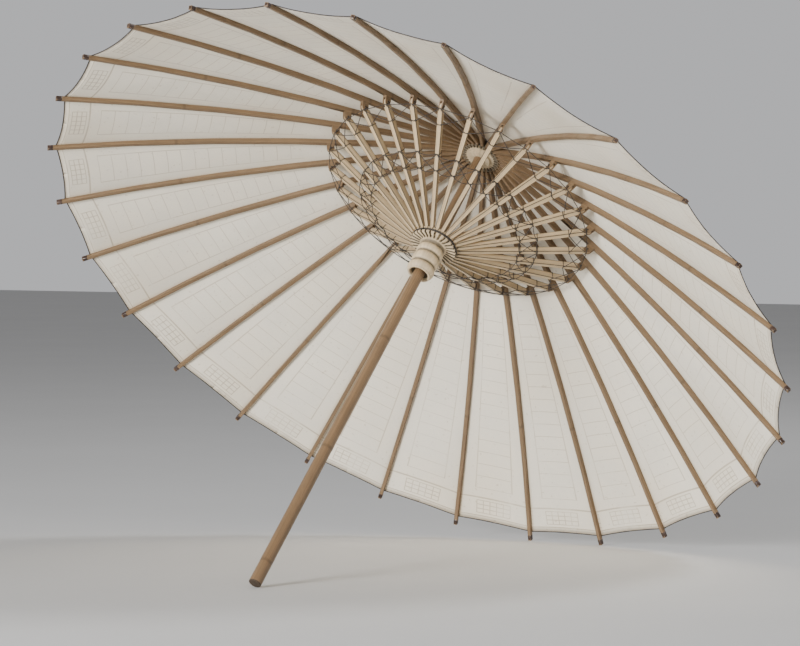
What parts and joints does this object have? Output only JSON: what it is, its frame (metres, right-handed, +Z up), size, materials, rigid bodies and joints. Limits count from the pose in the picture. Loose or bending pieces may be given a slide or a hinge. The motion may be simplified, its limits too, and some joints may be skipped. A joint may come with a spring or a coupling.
{
  "type": "oil paper umbrella",
  "caption": "Open oil paper umbrella with a bamboo shaft, folding split-bamboo ribs and stretchers, a turned sliding runner and a pleated paper canopy.",
  "frame": {"origin": "on the floor, under the middle of the box of the open umbrella, which rests on the foot of its shaft and its two lowest rib tips", "axes": "+Z up from the floor; the shaft leans in the YZ plane, its foot towards -Y and its top towards +Y; +X across the canopy"},
  "size_m": [0.841, 0.6156, 0.576],
  "materials": {
    "shaft_bamboo": "smoked bamboo, satin, with faint growth rings",
    "notch_wood": "turned hardwood, oiled",
    "turned_wood": "pale turned wood, smooth",
    "oiled_paper": "oiled mulberry paper, slightly glossy and translucent",
    "rib_bamboo": "split bamboo, matt",
    "stretcher_bamboo": "split bamboo, matt",
    "thread": "waxed dark cotton thread",
    "dark_lacquer": "dark lacquer on wood"
  },
  "bodies": {
    "root": {"shaft": "shaft_bamboo", "upper_notch": "notch_wood", "canopy": "oiled_paper"},
    "rib_01": {"rib_01": "rib_bamboo"},
    "stretcher_01": {"stretcher_01": "stretcher_bamboo"},
    "rib_02": {"rib_02": "rib_bamboo"},
    "stretcher_02": {"stretcher_02": "stretcher_bamboo"},
    "rib_03": {"rib_03": "rib_bamboo"},
    "stretcher_03": {"stretcher_03": "stretcher_bamboo"},
    "rib_04": {"rib_04": "rib_bamboo"},
    "stretcher_04": {"stretcher_04": "stretcher_bamboo"},
    "rib_05": {"rib_05": "rib_bamboo"},
    "stretcher_05": {"stretcher_05": "stretcher_bamboo"},
    "rib_06": {"rib_06": "rib_bamboo"},
    "stretcher_06": {"stretcher_06": "stretcher_bamboo"},
    "rib_07": {"rib_07": "rib_bamboo"},
    "stretcher_07": {"stretcher_07": "stretcher_bamboo"},
    "rib_08": {"rib_08": "rib_bamboo"},
    "stretcher_08": {"stretcher_08": "stretcher_bamboo"},
    "rib_09": {"rib_09": "rib_bamboo"},
    "stretcher_09": {"stretcher_09": "stretcher_bamboo"},
    "rib_10": {"rib_10": "rib_bamboo"},
    "stretcher_10": {"stretcher_10": "stretcher_bamboo"},
    "rib_11": {"rib_11": "rib_bamboo"},
    "stretcher_11": {"stretcher_11": "stretcher_bamboo"},
    "rib_12": {"rib_12": "rib_bamboo"},
    "stretcher_12": {"stretcher_12": "stretcher_bamboo"},
    "rib_13": {"rib_13": "rib_bamboo"},
    "stretcher_13": {"stretcher_13": "stretcher_bamboo"},
    "rib_14": {"rib_14": "rib_bamboo"},
    "stretcher_14": {"stretcher_14": "stretcher_bamboo"},
    "rib_15": {"rib_15": "rib_bamboo"},
    "stretcher_15": {"stretcher_15": "stretcher_bamboo"},
    "rib_16": {"rib_16": "rib_bamboo"},
    "stretcher_16": {"stretcher_16": "stretcher_bamboo"},
    "rib_17": {"rib_17": "rib_bamboo"},
    "stretcher_17": {"stretcher_17": "stretcher_bamboo"},
    "rib_18": {"rib_18": "rib_bamboo"},
    "stretcher_18": {"stretcher_18": "stretcher_bamboo"},
    "rib_19": {"rib_19": "rib_bamboo"},
    "stretcher_19": {"stretcher_19": "stretcher_bamboo"},
    "rib_20": {"rib_20": "rib_bamboo"},
    "stretcher_20": {"stretcher_20": "stretcher_bamboo"},
    "rib_21": {"rib_21": "rib_bamboo"},
    "stretcher_21": {"stretcher_21": "stretcher_bamboo"},
    "rib_22": {"rib_22": "rib_bamboo"},
    "stretcher_22": {"stretcher_22": "stretcher_bamboo"},
    "rib_23": {"rib_23": "rib_bamboo"},
    "stretcher_23": {"stretcher_23": "stretcher_bamboo"},
    "rib_24": {"rib_24": "rib_bamboo"},
    "stretcher_24": {"stretcher_24": "stretcher_bamboo"},
    "rib_25": {"rib_25": "rib_bamboo"},
    "stretcher_25": {"stretcher_25": "stretcher_bamboo"},
    "rib_26": {"rib_26": "rib_bamboo"},
    "stretcher_26": {"stretcher_26": "stretcher_bamboo"},
    "rib_27": {"rib_27": "rib_bamboo"},
    "stretcher_27": {"stretcher_27": "stretcher_bamboo"},
    "rib_28": {"rib_28": "rib_bamboo"},
    "stretcher_28": {"stretcher_28": "stretcher_bamboo"},
    "runner": {"runner": "turned_wood"}
  },
  "joints": [
    {"name": "umbrella_fold", "type": "hinge", "parent": "root", "child": "rib_01", "pos_m": [-0.00213, 0.14969, 0.42053], "axis": [-0.9937, -0.0818, 0.0765], "range_deg": [0, 61.11]},
    {"name": "stretcher_01_fold", "type": "hinge", "parent": "rib_01", "child": "stretcher_01", "pos_m": [-0.01677, 0.20028, 0.28436], "axis": [-0.9937, -0.0818, 0.0765], "range_deg": [-122.21, 0]},
    {"name": "rib_02_fold", "type": "hinge", "parent": "root", "child": "rib_02", "pos_m": [-0.00628, 0.149, 0.42118], "axis": [-0.9439, -0.2412, 0.2256], "range_deg": [0, 61.11]},
    {"name": "stretcher_02_fold", "type": "hinge", "parent": "rib_02", "child": "stretcher_02", "pos_m": [-0.04947, 0.19482, 0.28946], "axis": [-0.9439, -0.2412, 0.2256], "range_deg": [-122.21, 0]},
    {"name": "rib_03_fold", "type": "hinge", "parent": "root", "child": "rib_03", "pos_m": [-0.01011, 0.14765, 0.42244], "axis": [-0.8467, -0.3886, 0.3634], "range_deg": [0, 61.11]},
    {"name": "stretcher_03_fold", "type": "hinge", "parent": "rib_03", "child": "stretcher_03", "pos_m": [-0.07969, 0.1842, 0.2994], "axis": [-0.8467, -0.3886, 0.3634], "range_deg": [-122.21, 0]},
    {"name": "rib_04_fold", "type": "hinge", "parent": "root", "child": "rib_04", "pos_m": [-0.01344, 0.14571, 0.42425], "axis": [-0.7071, -0.5165, 0.483], "range_deg": [0, 61.11]},
    {"name": "stretcher_04_fold", "type": "hinge", "parent": "rib_04", "child": "stretcher_04", "pos_m": [-0.10591, 0.16892, 0.31368], "axis": [-0.7071, -0.5165, 0.483], "range_deg": [-122.21, 0]},
    {"name": "rib_05_fold", "type": "hinge", "parent": "root", "child": "rib_05", "pos_m": [-0.01609, 0.14328, 0.42652], "axis": [-0.532, -0.6184, 0.5783], "range_deg": [0, 61.11]},
    {"name": "stretcher_05_fold", "type": "hinge", "parent": "rib_05", "child": "stretcher_05", "pos_m": [-0.12682, 0.14977, 0.33159], "axis": [-0.532, -0.6184, 0.5783], "range_deg": [-122.21, 0]},
    {"name": "rib_06_fold", "type": "hinge", "parent": "root", "child": "rib_06", "pos_m": [-0.01793, 0.14048, 0.42914], "axis": [-0.3303, -0.6894, 0.6447], "range_deg": [0, 61.11]},
    {"name": "stretcher_06_fold", "type": "hinge", "parent": "rib_06", "child": "stretcher_06", "pos_m": [-0.14138, 0.1277, 0.35223], "axis": [-0.3303, -0.6894, 0.6447], "range_deg": [-122.21, 0]},
    {"name": "rib_07_fold", "type": "hinge", "parent": "root", "child": "rib_07", "pos_m": [-0.01888, 0.13745, 0.43197], "axis": [-0.112, -0.7258, 0.6787], "range_deg": [0, 61.11]},
    {"name": "stretcher_07_fold", "type": "hinge", "parent": "rib_07", "child": "stretcher_07", "pos_m": [-0.14884, 0.10381, 0.37457], "axis": [-0.112, -0.7258, 0.6787], "range_deg": [-122.21, 0]},
    {"name": "rib_08_fold", "type": "hinge", "parent": "root", "child": "rib_08", "pos_m": [-0.01888, 0.13434, 0.43488], "axis": [0.112, -0.7258, 0.6787], "range_deg": [0, 61.11]},
    {"name": "stretcher_08_fold", "type": "hinge", "parent": "rib_08", "child": "stretcher_08", "pos_m": [-0.14884, 0.07932, 0.39748], "axis": [0.112, -0.7258, 0.6787], "range_deg": [-122.21, 0]},
    {"name": "rib_09_fold", "type": "hinge", "parent": "root", "child": "rib_09", "pos_m": [-0.01793, 0.13131, 0.43771], "axis": [0.3303, -0.6894, 0.6447], "range_deg": [0, 61.11]},
    {"name": "stretcher_09_fold", "type": "hinge", "parent": "rib_09", "child": "stretcher_09", "pos_m": [-0.14138, 0.05543, 0.41981], "axis": [0.3303, -0.6894, 0.6447], "range_deg": [-122.21, 0]},
    {"name": "rib_10_fold", "type": "hinge", "parent": "root", "child": "rib_10", "pos_m": [-0.01609, 0.12851, 0.44033], "axis": [0.532, -0.6184, 0.5783], "range_deg": [0, 61.11]},
    {"name": "stretcher_10_fold", "type": "hinge", "parent": "rib_10", "child": "stretcher_10", "pos_m": [-0.12682, 0.03336, 0.44045], "axis": [0.532, -0.6184, 0.5783], "range_deg": [-122.21, 0]},
    {"name": "rib_11_fold", "type": "hinge", "parent": "root", "child": "rib_11", "pos_m": [-0.01344, 0.12608, 0.4426], "axis": [0.7071, -0.5165, 0.483], "range_deg": [0, 61.11]},
    {"name": "stretcher_11_fold", "type": "hinge", "parent": "rib_11", "child": "stretcher_11", "pos_m": [-0.10591, 0.01421, 0.45836], "axis": [0.7071, -0.5165, 0.483], "range_deg": [-122.21, 0]},
    {"name": "rib_12_fold", "type": "hinge", "parent": "root", "child": "rib_12", "pos_m": [-0.01011, 0.12415, 0.44442], "axis": [0.8467, -0.3886, 0.3634], "range_deg": [0, 61.11]},
    {"name": "stretcher_12_fold", "type": "hinge", "parent": "rib_12", "child": "stretcher_12", "pos_m": [-0.07969, -0.00106, 0.47265], "axis": [0.8467, -0.3886, 0.3634], "range_deg": [-122.21, 0]},
    {"name": "rib_13_fold", "type": "hinge", "parent": "root", "child": "rib_13", "pos_m": [-0.00628, 0.1228, 0.44568], "axis": [0.9439, -0.2412, 0.2256], "range_deg": [0, 61.11]},
    {"name": "stretcher_13_fold", "type": "hinge", "parent": "rib_13", "child": "stretcher_13", "pos_m": [-0.04947, -0.01169, 0.48259], "axis": [0.9439, -0.2412, 0.2256], "range_deg": [-122.21, 0]},
    {"name": "rib_14_fold", "type": "hinge", "parent": "root", "child": "rib_14", "pos_m": [-0.00213, 0.12211, 0.44632], "axis": [0.9937, -0.0818, 0.0765], "range_deg": [0, 61.11]},
    {"name": "stretcher_14_fold", "type": "hinge", "parent": "rib_14", "child": "stretcher_14", "pos_m": [-0.01677, -0.01714, 0.48768], "axis": [0.9937, -0.0818, 0.0765], "range_deg": [-122.21, 0]},
    {"name": "rib_15_fold", "type": "hinge", "parent": "root", "child": "rib_15", "pos_m": [0.00213, 0.12211, 0.44632], "axis": [0.9937, 0.0818, -0.0765], "range_deg": [0, 61.11]},
    {"name": "stretcher_15_fold", "type": "hinge", "parent": "rib_15", "child": "stretcher_15", "pos_m": [0.01677, -0.01714, 0.48768], "axis": [0.9937, 0.0818, -0.0765], "range_deg": [-122.21, 0]},
    {"name": "rib_16_fold", "type": "hinge", "parent": "root", "child": "rib_16", "pos_m": [0.00628, 0.1228, 0.44568], "axis": [0.9439, 0.2412, -0.2256], "range_deg": [0, 61.11]},
    {"name": "stretcher_16_fold", "type": "hinge", "parent": "rib_16", "child": "stretcher_16", "pos_m": [0.04947, -0.01169, 0.48259], "axis": [0.9439, 0.2412, -0.2256], "range_deg": [-122.21, 0]},
    {"name": "rib_17_fold", "type": "hinge", "parent": "root", "child": "rib_17", "pos_m": [0.01011, 0.12415, 0.44442], "axis": [0.8467, 0.3886, -0.3634], "range_deg": [0, 61.11]},
    {"name": "stretcher_17_fold", "type": "hinge", "parent": "rib_17", "child": "stretcher_17", "pos_m": [0.07969, -0.00106, 0.47265], "axis": [0.8467, 0.3886, -0.3634], "range_deg": [-122.21, 0]},
    {"name": "rib_18_fold", "type": "hinge", "parent": "root", "child": "rib_18", "pos_m": [0.01344, 0.12608, 0.4426], "axis": [0.7071, 0.5165, -0.483], "range_deg": [0, 61.11]},
    {"name": "stretcher_18_fold", "type": "hinge", "parent": "rib_18", "child": "stretcher_18", "pos_m": [0.10591, 0.01421, 0.45836], "axis": [0.7071, 0.5165, -0.483], "range_deg": [-122.21, 0]},
    {"name": "rib_19_fold", "type": "hinge", "parent": "root", "child": "rib_19", "pos_m": [0.01609, 0.12851, 0.44033], "axis": [0.532, 0.6184, -0.5783], "range_deg": [0, 61.11]},
    {"name": "stretcher_19_fold", "type": "hinge", "parent": "rib_19", "child": "stretcher_19", "pos_m": [0.12682, 0.03336, 0.44045], "axis": [0.532, 0.6184, -0.5783], "range_deg": [-122.21, 0]},
    {"name": "rib_20_fold", "type": "hinge", "parent": "root", "child": "rib_20", "pos_m": [0.01793, 0.13131, 0.43771], "axis": [0.3303, 0.6894, -0.6447], "range_deg": [0, 61.11]},
    {"name": "stretcher_20_fold", "type": "hinge", "parent": "rib_20", "child": "stretcher_20", "pos_m": [0.14138, 0.05543, 0.41981], "axis": [0.3303, 0.6894, -0.6447], "range_deg": [-122.21, 0]},
    {"name": "rib_21_fold", "type": "hinge", "parent": "root", "child": "rib_21", "pos_m": [0.01888, 0.13434, 0.43488], "axis": [0.112, 0.7258, -0.6787], "range_deg": [0, 61.11]},
    {"name": "stretcher_21_fold", "type": "hinge", "parent": "rib_21", "child": "stretcher_21", "pos_m": [0.14884, 0.07932, 0.39748], "axis": [0.112, 0.7258, -0.6787], "range_deg": [-122.21, 0]},
    {"name": "rib_22_fold", "type": "hinge", "parent": "root", "child": "rib_22", "pos_m": [0.01888, 0.13745, 0.43197], "axis": [-0.112, 0.7258, -0.6787], "range_deg": [0, 61.11]},
    {"name": "stretcher_22_fold", "type": "hinge", "parent": "rib_22", "child": "stretcher_22", "pos_m": [0.14884, 0.10381, 0.37457], "axis": [-0.112, 0.7258, -0.6787], "range_deg": [-122.21, 0]},
    {"name": "rib_23_fold", "type": "hinge", "parent": "root", "child": "rib_23", "pos_m": [0.01793, 0.14048, 0.42914], "axis": [-0.3303, 0.6894, -0.6447], "range_deg": [0, 61.11]},
    {"name": "stretcher_23_fold", "type": "hinge", "parent": "rib_23", "child": "stretcher_23", "pos_m": [0.14138, 0.1277, 0.35223], "axis": [-0.3303, 0.6894, -0.6447], "range_deg": [-122.21, 0]},
    {"name": "rib_24_fold", "type": "hinge", "parent": "root", "child": "rib_24", "pos_m": [0.01609, 0.14328, 0.42652], "axis": [-0.532, 0.6184, -0.5783], "range_deg": [0, 61.11]},
    {"name": "stretcher_24_fold", "type": "hinge", "parent": "rib_24", "child": "stretcher_24", "pos_m": [0.12682, 0.14977, 0.33159], "axis": [-0.532, 0.6184, -0.5783], "range_deg": [-122.21, 0]},
    {"name": "rib_25_fold", "type": "hinge", "parent": "root", "child": "rib_25", "pos_m": [0.01344, 0.14571, 0.42425], "axis": [-0.7071, 0.5165, -0.483], "range_deg": [0, 61.11]},
    {"name": "stretcher_25_fold", "type": "hinge", "parent": "rib_25", "child": "stretcher_25", "pos_m": [0.10591, 0.16892, 0.31368], "axis": [-0.7071, 0.5165, -0.483], "range_deg": [-122.21, 0]},
    {"name": "rib_26_fold", "type": "hinge", "parent": "root", "child": "rib_26", "pos_m": [0.01011, 0.14765, 0.42244], "axis": [-0.8467, 0.3886, -0.3634], "range_deg": [0, 61.11]},
    {"name": "stretcher_26_fold", "type": "hinge", "parent": "rib_26", "child": "stretcher_26", "pos_m": [0.07969, 0.1842, 0.2994], "axis": [-0.8467, 0.3886, -0.3634], "range_deg": [-122.21, 0]},
    {"name": "rib_27_fold", "type": "hinge", "parent": "root", "child": "rib_27", "pos_m": [0.00628, 0.149, 0.42118], "axis": [-0.9439, 0.2412, -0.2256], "range_deg": [0, 61.11]},
    {"name": "stretcher_27_fold", "type": "hinge", "parent": "rib_27", "child": "stretcher_27", "pos_m": [0.04947, 0.19482, 0.28946], "axis": [-0.9439, 0.2412, -0.2256], "range_deg": [-122.21, 0]},
    {"name": "rib_28_fold", "type": "hinge", "parent": "root", "child": "rib_28", "pos_m": [0.00213, 0.14969, 0.42053], "axis": [-0.9937, 0.0818, -0.0765], "range_deg": [0, 61.11]},
    {"name": "stretcher_28_fold", "type": "hinge", "parent": "rib_28", "child": "stretcher_28", "pos_m": [0.01677, 0.20028, 0.28436], "axis": [-0.9937, 0.0818, -0.0765], "range_deg": [-122.21, 0]},
    {"name": "runner_slide_hinge", "type": "hinge", "parent": "stretcher_01", "child": "runner", "pos_m": [-0.00213, 0.06102, 0.32572], "axis": [-0.9937, -0.0818, 0.0765], "range_deg": [0, 61.11]}
  ],
  "couplings": [
    {"joint": "stretcher_01_fold", "follows": "umbrella_fold", "ratio": -2},
    {"joint": "rib_02_fold", "follows": "umbrella_fold", "ratio": 1},
    {"joint": "stretcher_02_fold", "follows": "umbrella_fold", "ratio": -2},
    {"joint": "rib_03_fold", "follows": "umbrella_fold", "ratio": 1},
    {"joint": "stretcher_03_fold", "follows": "umbrella_fold", "ratio": -2},
    {"joint": "rib_04_fold", "follows": "umbrella_fold", "ratio": 1},
    {"joint": "stretcher_04_fold", "follows": "umbrella_fold", "ratio": -2},
    {"joint": "rib_05_fold", "follows": "umbrella_fold", "ratio": 1},
    {"joint": "stretcher_05_fold", "follows": "umbrella_fold", "ratio": -2},
    {"joint": "rib_06_fold", "follows": "umbrella_fold", "ratio": 1},
    {"joint": "stretcher_06_fold", "follows": "umbrella_fold", "ratio": -2},
    {"joint": "rib_07_fold", "follows": "umbrella_fold", "ratio": 1},
    {"joint": "stretcher_07_fold", "follows": "umbrella_fold", "ratio": -2},
    {"joint": "rib_08_fold", "follows": "umbrella_fold", "ratio": 1},
    {"joint": "stretcher_08_fold", "follows": "umbrella_fold", "ratio": -2},
    {"joint": "rib_09_fold", "follows": "umbrella_fold", "ratio": 1},
    {"joint": "stretcher_09_fold", "follows": "umbrella_fold", "ratio": -2},
    {"joint": "rib_10_fold", "follows": "umbrella_fold", "ratio": 1},
    {"joint": "stretcher_10_fold", "follows": "umbrella_fold", "ratio": -2},
    {"joint": "rib_11_fold", "follows": "umbrella_fold", "ratio": 1},
    {"joint": "stretcher_11_fold", "follows": "umbrella_fold", "ratio": -2},
    {"joint": "rib_12_fold", "follows": "umbrella_fold", "ratio": 1},
    {"joint": "stretcher_12_fold", "follows": "umbrella_fold", "ratio": -2},
    {"joint": "rib_13_fold", "follows": "umbrella_fold", "ratio": 1},
    {"joint": "stretcher_13_fold", "follows": "umbrella_fold", "ratio": -2},
    {"joint": "rib_14_fold", "follows": "umbrella_fold", "ratio": 1},
    {"joint": "stretcher_14_fold", "follows": "umbrella_fold", "ratio": -2},
    {"joint": "rib_15_fold", "follows": "umbrella_fold", "ratio": 1},
    {"joint": "stretcher_15_fold", "follows": "umbrella_fold", "ratio": -2},
    {"joint": "rib_16_fold", "follows": "umbrella_fold", "ratio": 1},
    {"joint": "stretcher_16_fold", "follows": "umbrella_fold", "ratio": -2},
    {"joint": "rib_17_fold", "follows": "umbrella_fold", "ratio": 1},
    {"joint": "stretcher_17_fold", "follows": "umbrella_fold", "ratio": -2},
    {"joint": "rib_18_fold", "follows": "umbrella_fold", "ratio": 1},
    {"joint": "stretcher_18_fold", "follows": "umbrella_fold", "ratio": -2},
    {"joint": "rib_19_fold", "follows": "umbrella_fold", "ratio": 1},
    {"joint": "stretcher_19_fold", "follows": "umbrella_fold", "ratio": -2},
    {"joint": "rib_20_fold", "follows": "umbrella_fold", "ratio": 1},
    {"joint": "stretcher_20_fold", "follows": "umbrella_fold", "ratio": -2},
    {"joint": "rib_21_fold", "follows": "umbrella_fold", "ratio": 1},
    {"joint": "stretcher_21_fold", "follows": "umbrella_fold", "ratio": -2},
    {"joint": "rib_22_fold", "follows": "umbrella_fold", "ratio": 1},
    {"joint": "stretcher_22_fold", "follows": "umbrella_fold", "ratio": -2},
    {"joint": "rib_23_fold", "follows": "umbrella_fold", "ratio": 1},
    {"joint": "stretcher_23_fold", "follows": "umbrella_fold", "ratio": -2},
    {"joint": "rib_24_fold", "follows": "umbrella_fold", "ratio": 1},
    {"joint": "stretcher_24_fold", "follows": "umbrella_fold", "ratio": -2},
    {"joint": "rib_25_fold", "follows": "umbrella_fold", "ratio": 1},
    {"joint": "stretcher_25_fold", "follows": "umbrella_fold", "ratio": -2},
    {"joint": "rib_26_fold", "follows": "umbrella_fold", "ratio": 1},
    {"joint": "stretcher_26_fold", "follows": "umbrella_fold", "ratio": -2},
    {"joint": "rib_27_fold", "follows": "umbrella_fold", "ratio": 1},
    {"joint": "stretcher_27_fold", "follows": "umbrella_fold", "ratio": -2},
    {"joint": "rib_28_fold", "follows": "umbrella_fold", "ratio": 1},
    {"joint": "stretcher_28_fold", "follows": "umbrella_fold", "ratio": -2},
    {"joint": "runner_slide_hinge", "follows": "umbrella_fold", "ratio": 1}
  ]
}
